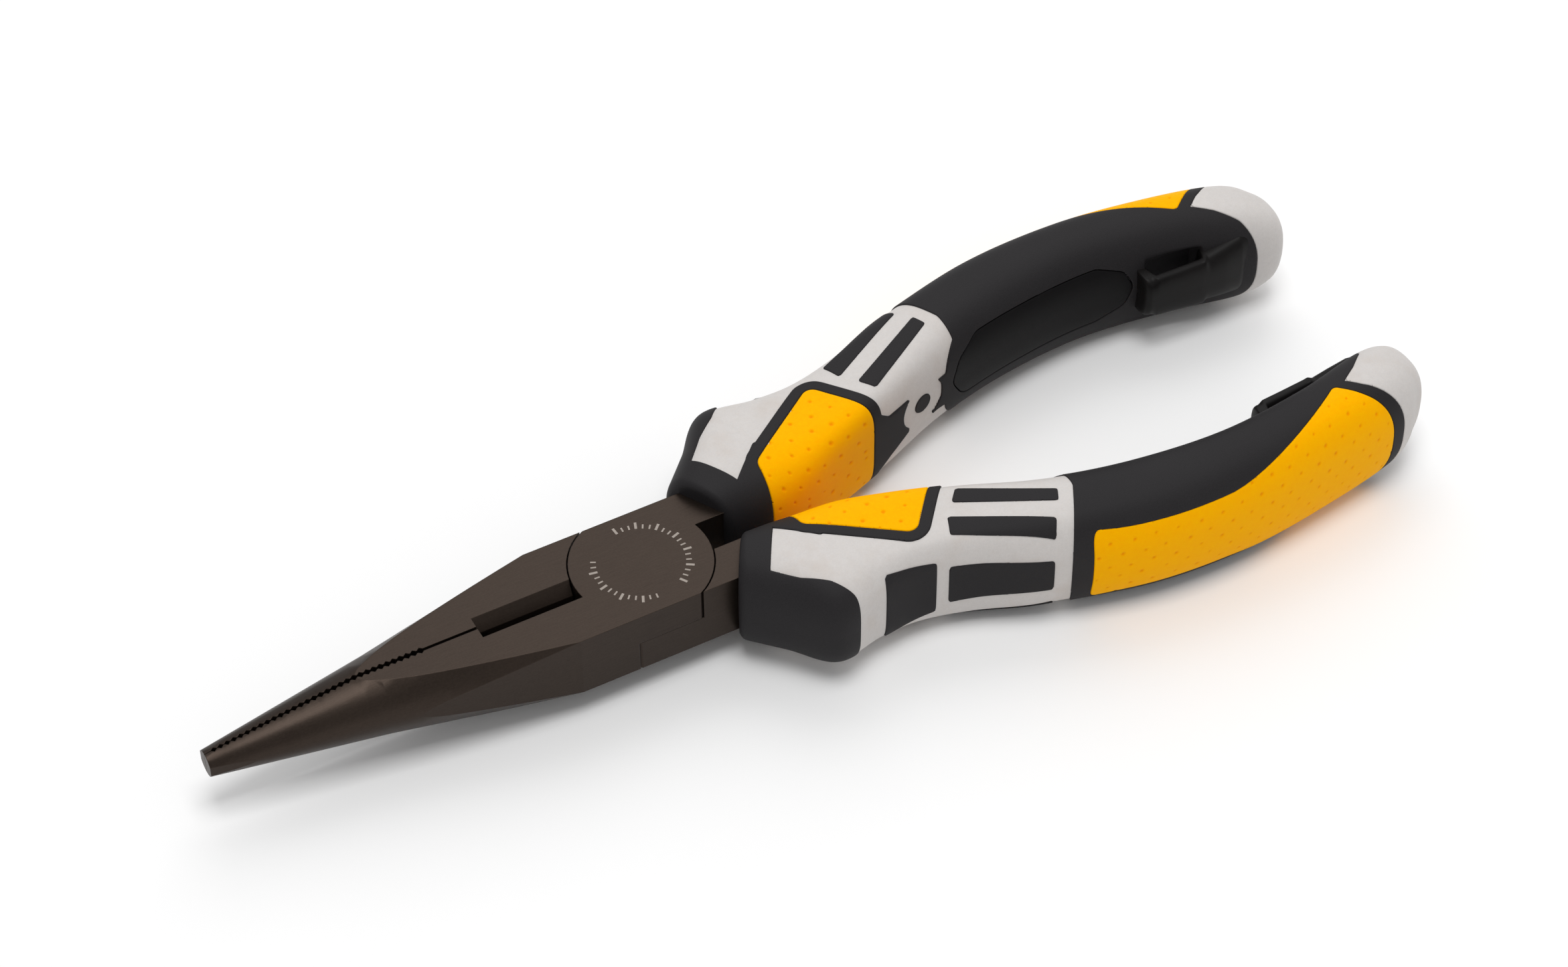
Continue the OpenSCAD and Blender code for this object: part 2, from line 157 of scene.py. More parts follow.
# %% Finish
class Finish:
    """A material under construction, with its Principled shader and one way to add nodes."""

    def __init__(self, name):
        self.material = bpy.data.materials.new(name)
        self.material.use_nodes = True
        self.tree = self.material.node_tree
        self.shader = self.tree.nodes["Principled BSDF"]
        self.place = self.node("TexCoord", {}, output="Object")

    def node(self, kind, settings, *values, output=0, **named):
        """Adds a node. Settings come first, then values or links go to its sockets."""
        made = self.tree.nodes.new("ShaderNode" + kind)
        for key, setting in settings.items():
            setattr(made, key, setting)
        for key, value in list(enumerate(values)) + list(named.items()):
            name = key.replace("_", " ") if isinstance(key, str) else key
            self._feed(made.inputs[name], value)
        return Value(self, made.outputs[output])

    def _feed(self, socket, value):
        """Links a Value to a socket, or sets the socket to anything else."""
        if isinstance(value, Value):
            self.tree.links.new(value.socket, socket)
        else:
            socket.default_value = value

    def noise(self, size_mm, detail=2.0, rough=0.5, place=None):
        """Noise with blotches about size_mm across, from 0 to 1."""
        return self.node("TexNoise", {}, Vector=place or self.place, Scale=1 / (size_mm * MM),
                         Detail=detail, Roughness=rough)

    def mix(self, amount, low, high):
        """A colour between two others, by an amount from 0 to 1."""
        made = self.tree.nodes.new("ShaderNodeMix")
        made.data_type = "RGBA"
        self._feed(made.inputs[0], amount)
        for socket, value in ((made.inputs[6], low), (made.inputs[7], high)):
            self._feed(socket, (*value, 1) if isinstance(value, tuple) else value)
        return Value(self, made.outputs[2])

    def bump(self, height, depth_mm, normal=None):
        """Small relief from a height between 0 and 1, that many millimetres deep."""
        named = {"Normal": normal} if normal else {}
        return self.node("Bump", {}, Strength=1.0, Distance=depth_mm * MM, Height=height, **named)

    def set(self, **values):
        """Feeds sockets of the Principled shader, and gives the finished material."""
        for key, value in values.items():
            socket = self.shader.inputs[key.replace("_", " ")]
            is_color = socket.type == "RGBA" and isinstance(value, tuple)
            self._feed(socket, (*value, 1) if is_color else value)
        return self.material


def linear(red, green, blue):
    """A screen colour from 0 to 255 as the linear colour that shaders use."""
    screen = np.array([red, green, blue]) / 255
    return tuple(np.where(screen <= 0.04045, screen / 12.92, ((screen + 0.055) / 1.055) ** 2.4).tolist())


# %% [markdown]
# ## Steel finishes
#
# The head is forged steel with a dark satin plating. Light spreads over it along fine grinding
# lines, and the plating has slightly warmer and cooler clouds. A painted image could hold all of
# this, but noise on the object's own coordinates stays sharp at any distance and needs no
# unwrapping. The mesh of the steel isn't changed, so its edges are eased in the shader.

# %% Steel
RIVET_EDGE = 5.4                 # the rivet is ground flush, so no edge shows inside this radius
EASE_OVER = 0.2                  # the easing of edges comes in over this distance outside it


def eased_edges(f, radius_mm):
    """Normals that round every edge by a radius, left flat near the pivot axis."""
    across = f.node("VectorMath", {"operation": "MULTIPLY"}, f.place, (1, 1, 0))
    reach = f.node("VectorMath", {"operation": "LENGTH"}, across, output=1)
    away = ((reach - RIVET_EDGE * MM) * (1 / (EASE_OVER * MM))).clamp()
    bevel = f.node("Bevel", {"samples": 6}, Radius=radius_mm * MM)
    flat = f.node("NewGeometry", {}, output="Normal")
    eased = f.node("VectorMath", {"operation": "SCALE"}, bevel, Scale=away)
    plain = f.node("VectorMath", {"operation": "SCALE"}, flat, Scale=1 - away)
    return f.node("VectorMath", {"operation": "ADD"}, eased, plain)


def dark_steel():
    """Satin plated steel: clouds in the colour, stretched noise for grinding lines, fine pits."""
    f = Finish("dark plated steel")
    cloud = f.noise(9, 3, 0.55)
    grain = f.noise(0.35, 2, 0.6)
    lines = f.node("Mapping", {}, f.place, Scale=(0.05, 1, 1))
    ground = f.noise(0.16, 3, 0.6, lines)
    warm = f.mix(cloud, linear(45, 37, 32), linear(54, 45, 39))
    color = f.mix((grain * 0.5 + ground * 0.5 - 0.25).clamp(), warm, linear(70, 60, 53))
    rough = 0.31 + grain * 0.10 + cloud * 0.07
    relief = f.bump(grain * 0.6 + ground * 0.4, 0.01, eased_edges(f, 0.16))
    return f.set(Base_Color=color, Roughness=rough, Metallic=0.85, Normal=relief,
                 Specular_IOR_Level=0.4)


def etched_mark():
    """Bare steel where the plating is etched away: pale and matt."""
    f = Finish("etched mark")
    grain = f.noise(0.2, 2, 0.6)
    return f.set(Base_Color=f.mix(grain, linear(138, 128, 119), linear(165, 156, 148)),
                 Roughness=0.5 + grain * 0.15, Metallic=0.2, Normal=f.bump(grain, 0.01))


# %% [markdown]
# ## Moulded finishes
#
# The grips are three moulded materials: a soft black rubber, a soft amber rubber and a hard pale
# plastic. The oval panel and the bridge are harder, smoother blacks. All of them are matt, so a
# flat colour would look like a toy. Fine grain, small changes of gloss and a little light under
# the surface of the soft ones are what makes them look real.

# %% Black finishes
def black_rubber():
    """Soft black rubber: a fine moulded grain, and patches that handling has made smoother."""
    f = Finish("black rubber")
    grain = f.noise(0.22, 3, 0.65)
    patch = f.noise(12, 2, 0.5)
    color = f.mix((grain * 0.7 + patch * 0.3).clamp(), linear(25, 24, 25), linear(46, 44, 46))
    rough = 0.52 + grain * 0.16 + patch * 0.06
    return f.set(Base_Color=color, Roughness=rough, Normal=f.bump(grain, 0.02),
                 Specular_IOR_Level=0.16)


def black_panel():
    """The oval panel: the same black, smoother and a little darker."""
    f = Finish("black panel")
    grain = f.noise(0.3, 2, 0.6)
    patch = f.noise(7, 2, 0.5)
    color = f.mix(patch, linear(14, 13, 14), linear(21, 20, 21))
    return f.set(Base_Color=color, Roughness=0.38 + grain * 0.12 + patch * 0.08,
                 Normal=f.bump(grain, 0.008), Specular_IOR_Level=0.1)


def black_plastic():
    """Hard black plastic of the tether bridge, with faint flow lines from the mould."""
    f = Finish("black plastic")
    flow = f.node("Mapping", {}, f.place, Scale=(0.25, 1, 1))
    lines = f.noise(1.6, 3, 0.6, flow)
    grain = f.noise(0.25, 2, 0.6)
    color = f.mix(lines, linear(14, 13, 13), linear(26, 24, 24))
    return f.set(Base_Color=color, Roughness=0.36 + lines * 0.2,
                 Normal=f.bump(grain * 0.4 + lines * 0.6, 0.02), Specular_IOR_Level=0.12)


# %% Pale and amber finishes
def pale_plastic():
    """Hard pale plastic: warm speckle, faint grime in broad patches and a fine spark texture."""
    f = Finish("pale plastic")
    grain = f.noise(0.28, 3, 0.6)
    speck = f.noise(0.9, 3, 0.6)
    grime = f.noise(6, 3, 0.55)
    clean = f.mix((grain * 0.6 + speck * 0.4).clamp(), linear(190, 185, 182), linear(213, 209, 206))
    dirty = linear(186, 172, 160)
    amount = ((grime - 0.52) * 2.6).clamp() * 0.45
    return f.set(Base_Color=f.mix(amount, clean, dirty), Roughness=0.46 + grain * 0.16,
                 Normal=f.bump(grain * 0.7 + speck * 0.3, 0.02), Subsurface_Weight=0.08,
                 Subsurface_Radius=(0.6, 0.45, 0.35), Subsurface_Scale=MM,
                 Specular_IOR_Level=0.35)


def amber_rubber():
    """Soft amber rubber: orange speckle, with painted shade low in each dimple that turns the colour darker
    and redder.
    """
    f = Finish("amber rubber")
    grain = f.noise(0.25, 3, 0.65)
    speck = f.noise(0.8, 3, 0.6)
    tint = f.mix((grain * 0.5 + speck * 0.5).clamp(), linear(250, 164, 0), linear(255, 190, 1))
    # Painted shade: low in each dimple the colour turns darker and redder, by the depth of the pit.
    pit_shade = f.node("Attribute", {"attribute_name": "pit_shade"}, output="Fac")
    color = f.mix((pit_shade * 0.55).clamp(), tint, linear(226, 96, 2))
    return f.set(Base_Color=color, Roughness=0.48 + grain * 0.16,
                 Normal=f.bump(grain * 0.6 + speck * 0.4, 0.025), Subsurface_Weight=0.15,
                 Subsurface_Radius=(1.0, 0.35, 0.05), Subsurface_Scale=MM,
                 Specular_IOR_Level=0.05, Specular_Tint=(1.0, 0.6, 0.1))


# %% Finish the steel
STEEL, MARK = dark_steel(), etched_mark()
RUBBER, PANEL, PLASTIC = black_rubber(), black_panel(), black_plastic()
PALE, AMBER = pale_plastic(), amber_rubber()
for name in ("jaw_half_a", "jaw_half_b", "pivot_rivet"):
    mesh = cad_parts[name].data
    mesh.materials.clear()
    mesh.materials.append(STEEL)
    print(name, "is", STEEL.name)

# %% [markdown]
# ## The grip as one surface
#
# Every piece of a grip lies on one smooth surface, so the surface comes first. It could be
# sculpted, but a formula lets every piece be cut from the same surface, so that neighbours fit.
# It is a row of ribs: each has an inner and an outer point in plan and a half height. A
# Catmull-Rom curve runs through the ribs, and each cross-section is a superellipse, which is an
# ellipse with squarer corners. The front edge rolls over into a flat face round the steel, and
# the far end closes.

# %% Ribs
# inner x, inner y, outer x, outer y, half height, in millimetres
RIBS = np.array([
    [16.3, 1.6, 10.0, 12.2, 8.8],
    [20.5, 1.5, 15.7, 17.9, 9.3],
    [24.5, 1.8, 21.5, 23.8, 9.4],
    [31.0, 3.2, 30.0, 22.0, 9.3],
    [38.5, 6.0, 37.0, 21.4, 9.3],
    [49.0, 9.9, 45.0, 23.3, 9.5],
    [60.0, 13.8, 56.0, 28.1, 9.9],
    [75.0, 17.4, 72.5, 32.4, 10.5],
    [90.0, 19.0, 90.0, 33.0, 10.7],
    [105.0, 17.5, 106.5, 31.0, 10.6],
    [117.0, 14.4, 118.6, 28.8, 9.8],
    [122.6, 14.0, 123.2, 26.0, 7.9],
    [125.2, 15.6, 125.6, 23.6, 5.4],
    [126.0, 17.6, 126.1, 21.2, 2.6],
])
LAST = len(RIBS) - 1


def rib_at(station):
    """Catmull-Rom: a cubic through the ribs whose slope at each is half the step across it."""
    table = np.vstack([2 * RIBS[0] - RIBS[1], RIBS, 2 * RIBS[-1] - RIBS[-2]])
    i = np.clip(np.floor(station).astype(int), 0, LAST - 1)
    t = (station - i)[:, None]
    p0, p1, p2, p3 = (table[i + k] for k in range(4))
    return 0.5 * (2 * p1 + (p2 - p0) * t + (2 * p0 - 5 * p1 + 4 * p2 - p3) * t ** 2
                  + (3 * p1 - p0 - 3 * p2 + p3) * t ** 3)


def middle_of(rib):
    """The point in plan halfway between a rib's inner and outer points."""
    return (rib[:, 0:2] + rib[:, 2:4]) / 2


def unit(vectors):
    """Each vector divided by its length."""
    return vectors / np.maximum(np.linalg.norm(vectors, axis=-1, keepdims=True), 1e-9)


def superellipse(t, power):
    """The outline's distance from the middle at angle t: (|cos t|^n + |sin t|^n)^(-1/n)."""
    return (np.abs(np.cos(t)) ** power + np.abs(np.sin(t)) ** power) ** (-1 / power)


def wrapped_triangles(rows, columns):
    """Two triangles for each cell of a grid whose last column joins its first."""
    i, j = np.meshgrid(np.arange(rows - 1), np.arange(columns), indexing="ij")
    k = (j + 1) % columns
    a, b, c, d = i * columns + j, (i + 1) * columns + j, (i + 1) * columns + k, i * columns + k
    return np.concatenate([np.stack(corners, -1).reshape(-1, 3) for corners in ((a, c, b), (a, d, c))])


# %% Skin
SQUARENESS = 2.5                 # the superellipse's power along most of the grip
FRONT_SQUARER = 2.2              # added to it round the thumb pad
THUMB_AT, THUMB_SPREAD = 30, 15  # where along the grip that is
FRONT_ROLL = 1.0                 # radius of the rolled front edge
THINNEST = 0.2                   # no half width or half height goes below this
ROLL_ROWS = 7                    # rows over the rolled edge
FRONT_RINGS = 12                 # rings of the flat front face
END_RINGS = 8                    # rings that close the far end
END_BULGE = 0.3                  # how far they stand out
END_ROWS = 9                     # rows before the end that give its direction
MEAN_RADIUS = 8.5                # of the grip, which sets how many columns go round it


class Skin:
    """A grid of points over the whole grip, with outward normals and distances in millimetres.

    Rows run from the front face to the far end and columns run round the grip. A point is the
    middle of its rib plus half the rib's width times cos(t) r(t) along the rib, and the half
    height times sin(t) r(t) up, where r(t) is the superellipse.
    """

    def __init__(self, cell, inset=0.0):
        along, rib = self._rows(cell)
        t = np.linspace(0, 2 * np.pi, int(2 * np.pi * MEAN_RADIUS / cell), endpoint=False)
        self._place(along, rib, inset, t)
        self._measure(t)
        self.triangles = wrapped_triangles(*self.points.shape[:2])
        self.points, self.normals = self.points.reshape(-1, 3), self.normals.reshape(-1, 3)
        self.along, self.around = self.along.ravel(), self.around.ravel()

    @staticmethod
    def _rows(cell):
        """Distances along the middle line, close together on the rolled edge, and their ribs."""
        fine = np.linspace(0, LAST, 3000)
        steps = np.linalg.norm(np.diff(middle_of(rib_at(fine)), axis=0), axis=1)
        length = np.concatenate([[0], np.cumsum(steps)])
        roll = FRONT_ROLL * (1 - np.cos(np.linspace(0, np.pi / 2, ROLL_ROWS)))
        along = np.concatenate([roll, np.arange(FRONT_ROLL + cell, length[-1], cell), [length[-1]]])
        return along, rib_at(np.interp(along, length, fine))

    def _place(self, along, rib, inset, t):
        """The points. A quarter circle shrinks the front rows, and rings close both ends."""
        into = np.maximum(FRONT_ROLL - along, 0)
        shrink = inset + FRONT_ROLL - np.sqrt(FRONT_ROLL ** 2 - into ** 2)
        span = rib[:, 2:4] - rib[:, 0:2]
        half_w = np.maximum(np.linalg.norm(span, axis=1) / 2 - shrink, THINNEST)
        half_h = np.maximum(rib[:, 4] - shrink, THINNEST)
        middle, across = middle_of(rib), unit(span)
        self.forward = unit(middle[-1] - middle[-END_ROWS])

        count = len(along)
        front = np.linspace(0, 1, FRONT_RINGS, endpoint=False)
        turn = np.linspace(0, np.pi / 2, END_RINGS + 1)[1:]
        bulge = END_BULGE * np.sin(turn)
        share = np.concatenate([front, np.ones(count), np.cos(turn)])
        row = np.concatenate([np.zeros(FRONT_RINGS, int), np.arange(count), np.full(END_RINGS, count - 1)])
        push = np.concatenate([np.zeros(FRONT_RINGS + count), bulge])
        along = np.concatenate([np.zeros(FRONT_RINGS), along, along[-1] + bulge])

        power = SQUARENESS + FRONT_SQUARER * np.exp(-((along - THUMB_AT) / THUMB_SPREAD) ** 2)[:, None]
        reach = superellipse(t, power)
        side = (half_w[row] * share)[:, None] * (np.cos(t) * reach)
        rise = (half_h[row] * share)[:, None] * (np.sin(t) * reach)
        centre = (middle[row] + push[:, None] * self.forward)[:, None, :]
        in_plan = centre + side[..., None] * across[row][:, None, :]
        self.points = np.concatenate([in_plan, (MID_Z + rise)[..., None]], axis=2)
        self.along = np.repeat(along[:, None], len(t), 1)

    def _measure(self, t):
        """Normals from the steps along and round the grid, and the distance round the grip."""
        down = np.gradient(self.points, axis=0)
        sideways = (np.roll(self.points, -1, 1) - np.roll(self.points, 1, 1)) / 2
        self.normals = unit(np.cross(sideways, down))
        self.normals[-1] = [*self.forward, 0]
        step = np.linalg.norm(np.roll(self.points, -1, 1) - self.points, axis=2)
        girths = np.cumsum(step, axis=1) - step
        self.around = np.where(t > np.pi, girths - step.sum(1, keepdims=True), girths)


SKIN = Skin(0.36)
FINE_SKIN = Skin(0.2)
sample = SKIN.triangles[len(SKIN.triangles) // 3]
turned = np.cross(*(SKIN.points[sample[1:]] - SKIN.points[sample[0]])) @ SKIN.normals[sample[0]]
print("skin has", len(SKIN.points), "points, faces point", "out" if turned > 0 else "IN")

# %% [markdown]
# ## Outlines as distance fields
#
# A piece of the grip is the part of the surface inside an outline. A Boolean modifier could cut
# it out, but it is slow on a dense mesh and leaves ragged triangles. So the outline is kept as a
# field: the distance from any point to the outline, below zero inside it. Fields join with a
# minimum and cut with a maximum, and a rounded outline is an inset polygon let out again.

# %% Fields
PROBE = 0.02                     # the step that measures a field's slope
LEAST_SLOPE = 0.3                # a field isn't divided by less than this


def polygon_field(x, y, corners):
    """Distance to the nearest side, with the sign from counting the sides to the right."""
    a = np.array(corners, float)
    b = np.roll(a, -1, 0)
    side = b - a
    px, py = x[:, None] - a[:, 0], y[:, None] - a[:, 1]
    t = np.clip((px * side[:, 0] + py * side[:, 1]) / (side ** 2).sum(1), 0, 1)
    near = np.hypot(px - t * side[:, 0], py - t * side[:, 1]).min(1)
    straddles = (a[:, 1] > y[:, None]) != (b[:, 1] > y[:, None])
    rise = np.where(side[:, 1] == 0, 1e-9, side[:, 1])
    crossed = straddles & (px < side[:, 0] * py / rise)
    return np.where(crossed.sum(1) % 2 == 1, -near, near)


def shrunk(corners, by):
    """The polygon with each side moved in by a distance: neighbours meet at the new corners."""
    a = np.array(corners, float)
    turn = np.sign(np.sum(a[:, 0] * np.roll(a[:, 1], -1) - np.roll(a[:, 0], -1) * a[:, 1]))
    along = unit(np.roll(a, -1, 0) - a)
    inward = turn * np.stack([-along[:, 1], along[:, 0]], 1)
    before = np.roll(inward, 1, 0)
    return a + by * (inward + before) / (1 + (inward * before).sum(1, keepdims=True))


def plan(corners, rounding=0.0, grow=0.0):
    """A field in plan, the same at every height."""
    inner = shrunk(corners, rounding) if rounding else corners
    return lambda p: polygon_field(p[:, 0], p[:, 1], inner) - rounding - grow


def side_view(corners, y_range, rounding=0.0):
    """A field in x and height above the middle, that holds between two values of y."""
    inner = shrunk(corners, rounding) if rounding else corners

    def field(p):
        flat = polygon_field(p[:, 0], p[:, 2] - MID_Z, inner) - rounding
        return np.maximum(flat, np.maximum(y_range[0] - p[:, 1], p[:, 1] - y_range[1]))
    return field


def join(*fields):
    """Inside any of the fields: the smallest of them."""
    return lambda p: np.min([field(p) for field in fields], axis=0)


def cut(field, *others):
    """Inside the first field and outside the others: the largest of it and their opposites."""
    return lambda p: np.max([field(p)] + [-other(p) for other in others], axis=0)


def surface_distance(field, points, normals):
    """The field divided by its slope along the surface, so that it is a distance over it."""
    here = field(points)
    slope = np.stack([field(points + PROBE * axis) - here for axis in np.eye(3)], 1) / PROBE
    slope -= (slope * normals).sum(1, keepdims=True) * normals
    return here / np.maximum(np.linalg.norm(slope, axis=1), LEAST_SLOPE)


# %% [markdown]
# ## From a field to a moulded piece
#
# A piece from a mould never has a sharp edge. The surface's triangles are clipped where the field
# is zero, and the new edge is carried over a quarter circle and down a skirt, which gives the
# small rolled edge. A Bevel modifier would do the same only where the mesh has clean corners. A
# copy underneath closes the piece.

# %% Clipping
CUT_MARGIN = 0.08                # a cut stays this share of a side away from its ends


def clip(values, triangles, distance):
    """Keeps the mesh where distance is below zero. A triangle with one corner inside keeps a
    smaller triangle, and one with two corners inside keeps two. Cut points lie on the sides."""
    inside = distance < 0
    count = inside[triangles].sum(1)
    kept = [triangles[count == 3]]
    ends, blocks = [], []
    for wanted in (1, 2):
        some = triangles[count == wanted]
        odd = np.argmax(inside[some] == (wanted == 1), axis=1)
        some = np.take_along_axis(some, (odd[:, None] + np.arange(3)) % 3, 1)
        blocks.append(some)
        ends += [some[:, [0, 1]], some[:, [0, 2]]]
    pairs = np.concatenate(ends)
    low, high = pairs.min(1), pairs.max(1)
    keys, where = np.unique(low * len(distance) + high, return_inverse=True)
    low, high = keys // len(distance), keys % len(distance)
    share = distance[low] / (distance[low] - distance[high])
    share = np.clip(share, CUT_MARGIN, 1 - CUT_MARGIN)[:, None]
    values = np.concatenate([values, values[low] * (1 - share) + values[high] * share])
    where = where + len(distance)
    n1, n2 = len(blocks[0]), len(blocks[1])
    p1, q1 = where[:n1], where[n1:2 * n1]
    p2, q2 = where[2 * n1:2 * n1 + n2], where[2 * n1 + n2:]
    kept.append(np.stack([blocks[0][:, 0], p1, q1], 1))
    kept.append(np.stack([p2, blocks[1][:, 1], blocks[1][:, 2]], 1))
    kept.append(np.stack([p2, blocks[1][:, 2], q2], 1))
    triangles = np.concatenate(kept)
    used, again = np.unique(triangles, return_inverse=True)
    return values[used], again.reshape(-1, 3)


def rim_of(triangles, count):
    """Directed edges that only one triangle has."""
    edges = np.concatenate([triangles[:, [0, 1]], triangles[:, [1, 2]], triangles[:, [2, 0]]])
    forward, backward = edges @ [count, 1], edges @ [1, count]
    return edges[~np.isin(forward, backward)]


# %% Moulding
ROLL_STEPS = 4                   # rows over the rolled edge of a piece


def moulded(field, skin, roll=0.25, depth=0.9, lift=0.0, shape=None):
    """A closed piece: the clipped top, a quarter-circle roll, a skirt and the copy underneath.

    Returns points, faces and the depth of the dimple at each point, which the amber finish uses for painted
    shade."""
    distance = surface_distance(field, skin.points, skin.normals) + roll
    values = np.column_stack([skin.points, skin.normals, skin.along, skin.around])
    values, triangles = clip(values, skin.triangles, distance)
    points, normals = values[:, 0:3], unit(values[:, 3:6])
    rim = rim_of(triangles, len(points))
    direction = np.zeros_like(points)
    step = unit(points[rim[:, 1]] - points[rim[:, 0]])
    np.add.at(direction, rim[:, 0], step)
    np.add.at(direction, rim[:, 1], step)
    outward = unit(np.cross(direction, normals))
    edge = np.unique(rim)
    place = np.zeros(len(points), int)
    place[edge] = np.arange(len(edge))

    top = points + lift * normals
    pit_shade = np.zeros(len(points))
    if shape:
        moved, pit_shade = shape(points, normals, values[:, 6], values[:, 7])
        top = top + moved
    layers, faces = [top], [triangles]
    first, second = rim[:, 0], rim[:, 1]
    total = len(points)
    angles = np.linspace(0, math.pi / 2, ROLL_STEPS + 1)[1:]
    rings = [(roll * math.sin(a), roll * (1 - math.cos(a))) for a in angles]
    for out, down in rings + [(roll, depth)]:
        layers.append((top + out * outward - down * normals)[edge])
        new_first, new_second = total + place[rim[:, 0]], total + place[rim[:, 1]]
        faces += [np.stack([second, first, new_first], 1), np.stack([second, new_first, new_second], 1)]
        first, second = new_first, new_second
        total += len(edge)
    under = np.arange(len(points)) + total
    under[edge] = total - len(edge) + place[edge]
    layers.append(top - depth * normals)
    faces.append(under[triangles[:, ::-1]])
    points = np.concatenate(layers)
    faces = np.concatenate(faces)
    pit_shades = np.zeros(len(points))
    pit_shades[:len(pit_shade)] = pit_shade
    used, again = np.unique(faces, return_inverse=True)
    return points[used], again.reshape(-1, 3), pit_shades[used]


# %% Objects
def as_object(name, points, faces, material, pit_shades=None):
    """A mesh object at the origin, with points given in millimetres."""
    mesh = bpy.data.meshes.new(name)
    mesh.from_pydata((points * MM).tolist(), [], faces.tolist())
    if pit_shades is not None:
        # The depth of each dimple is kept on the points for the painted shade low in the dimples.
        mesh.attributes.new("pit_shade", "FLOAT", "POINT").data.foreach_set("value", pit_shades.astype(np.float32))
    mesh.polygons.foreach_set("use_smooth", np.ones(len(mesh.polygons), bool))
    mesh.validate()
    mesh.update()
    piece = bpy.data.objects.new(name, mesh)
    bpy.context.scene.collection.objects.link(piece)
    mesh.materials.append(material)
    return piece


BODIES = {"a": "root", "b": "half_b"}


def on_both_grips(name, node, slot, material, points, faces, pit_shades=None):
    """Makes a piece for each grip: half B's is the mirror image in y, with its faces turned."""
    for side, body in BODIES.items():
        flip = side == "b"
        placed = points * [1, -1, 1] if flip else points
        piece = as_object(f"{name}_{side}", placed, faces[:, ::-1] if flip else faces, material, pit_shades)
        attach(piece, body)
        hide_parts(f"{node}_{side}")
    print(name, len(faces), "triangles on each grip")


# %% [markdown]
# ## Guard
#
# The black guard is one moulding: the collar round the steel, the lobe that stops the hand, the
# border round the thumb pad and the tongue behind it. Each is its own outline, and a join makes
# them one piece with one rolled edge, as one shot of rubber in a mould would.

# %% Outlines at the front of the grip
COLLAR_W = 4.8
BORDER_W = 1.9
THUMB = [[23.6, -6], [23.6, 7.3], [37.8, 17.3], [45.4, 8], [45.4, -6]]
THUMB_ROUND = 1.8
LOBE = [[10, 8], [14.2, 11.8], [18.4, 16.4], [22, 19.2], [24.9, 22.6], [25.4, 32], [6, 32]]
LOBE_ROUND = 2.2
CHEEK = [[19.4, 5.6], [24.8, 10.8], [30, 10.8], [30, -8], [19.4, -8]]
# From the side: x and height above the middle, with the range of y where the outline holds
TONGUE = [[44, -7.6], [44, 7.4], [46, 6.4], [48.4, 4.2], [54, 4.2], [54, -2.6], [49, -5.2], [46, -7.4]]
TONGUE_Y, TONGUE_ROUND = (-6, 13.5), 0.3
DOT, DOT_R = (56.1, 0.7), 1.7    # x and height of the dot on the inner side, and its radius
RING_R = 4.3                     # the pale ring round the dot cuts into the black on both sides
DOT_REACH = 17                   # the dot and its ring lie on the inner side, below this y

front_edge = RIBS[0, 2:4] - RIBS[0, 0:2]
BACKWARD = np.array([front_edge[1], -front_edge[0]]) / np.linalg.norm(front_edge)


def behind_front(p):
    """How far a point is behind the plane of the front face."""
    return (p[:, 0:2] - RIBS[0, 0:2]) @ BACKWARD


def collar(p):
    """A field below zero in a band behind the front face."""
    return behind_front(p) - COLLAR_W


def round_on_inner_side(radius):
    """A field below zero within a radius of the dot's middle, on the inner side only."""
    return lambda p: np.maximum(np.hypot(p[:, 0] - DOT[0], p[:, 2] - MID_Z - DOT[1]) - radius,
                                p[:, 1] - DOT_REACH)


# %% Guard
thumb = plan(THUMB, THUMB_ROUND)
border = plan(THUMB, THUMB_ROUND, BORDER_W)
lobe = plan(LOBE, LOBE_ROUND)
tongue = cut(side_view(TONGUE, TONGUE_Y, TONGUE_ROUND), round_on_inner_side(RING_R))
guard = cut(join(collar, lobe, border, tongue, plan(CHEEK)), thumb)
on_both_grips("guard_moulding", "guard", "black_rubber", RUBBER, *moulded(guard, SKIN)[:2])

# %% [markdown]
# ## Thumb pad
#
# The amber pad has rows of small round dimples for grip. A bump in the material would look right
# from above but leave a flat outline, so the dimples are real: the pad is cut from a finer grid,
# and its points sink into bowls. Real pads aren't perfectly regular, so each pit strays a little.

# %% Dimples
STRAY_ALONG, STRAY_ACROSS = 0.16, 0.2    # how far a pit strays, as a share of its pitch
SMALLEST_PIT, PIT_SPREAD = 0.7, 0.5      # a pit's size, as a share of the usual one


def scatter(a, b):
    """A steady number from 0 to 1 for each pair of whole numbers: the fraction of a large sine."""
    return np.modf(np.abs(np.sin(a * 12.99 + b * 78.23) * 437.6))[0]


def dimples(pitch, row_pitch, radius, depth):
    """Staggered rows of round pits. The distance to the nearest pit's middle comes from the
    remainder of the place along and round the grip, and each pit is a smooth bowl, set a little
    off its place and a little larger or smaller than its neighbours."""
    def shape(points, normals, along, around):
        row = np.round(around / row_pitch)
        column = np.round(along / pitch + 0.5 * (row % 2))
        off_u = (scatter(row, column) - 0.5) * STRAY_ALONG * pitch
        off_v = (scatter(column, row + 5) - 0.5) * STRAY_ACROSS * row_pitch
        gap = np.hypot(along - (column - 0.5 * (row % 2)) * pitch - off_u, around - row * row_pitch - off_v)
        size = radius * (SMALLEST_PIT + PIT_SPREAD * scatter(column + 3, row))
        bowl = np.clip(1 - (gap / size) ** 2, 0, 1) ** 2
        return -depth * bowl[:, None] * normals, bowl
    return shape


on_both_grips("thumb_pad_moulding", "thumb_pad", "amber_pad", AMBER,
              *moulded(thumb, FINE_SKIN, shape=dimples(3.4, 2.9, 0.46, 0.2)))

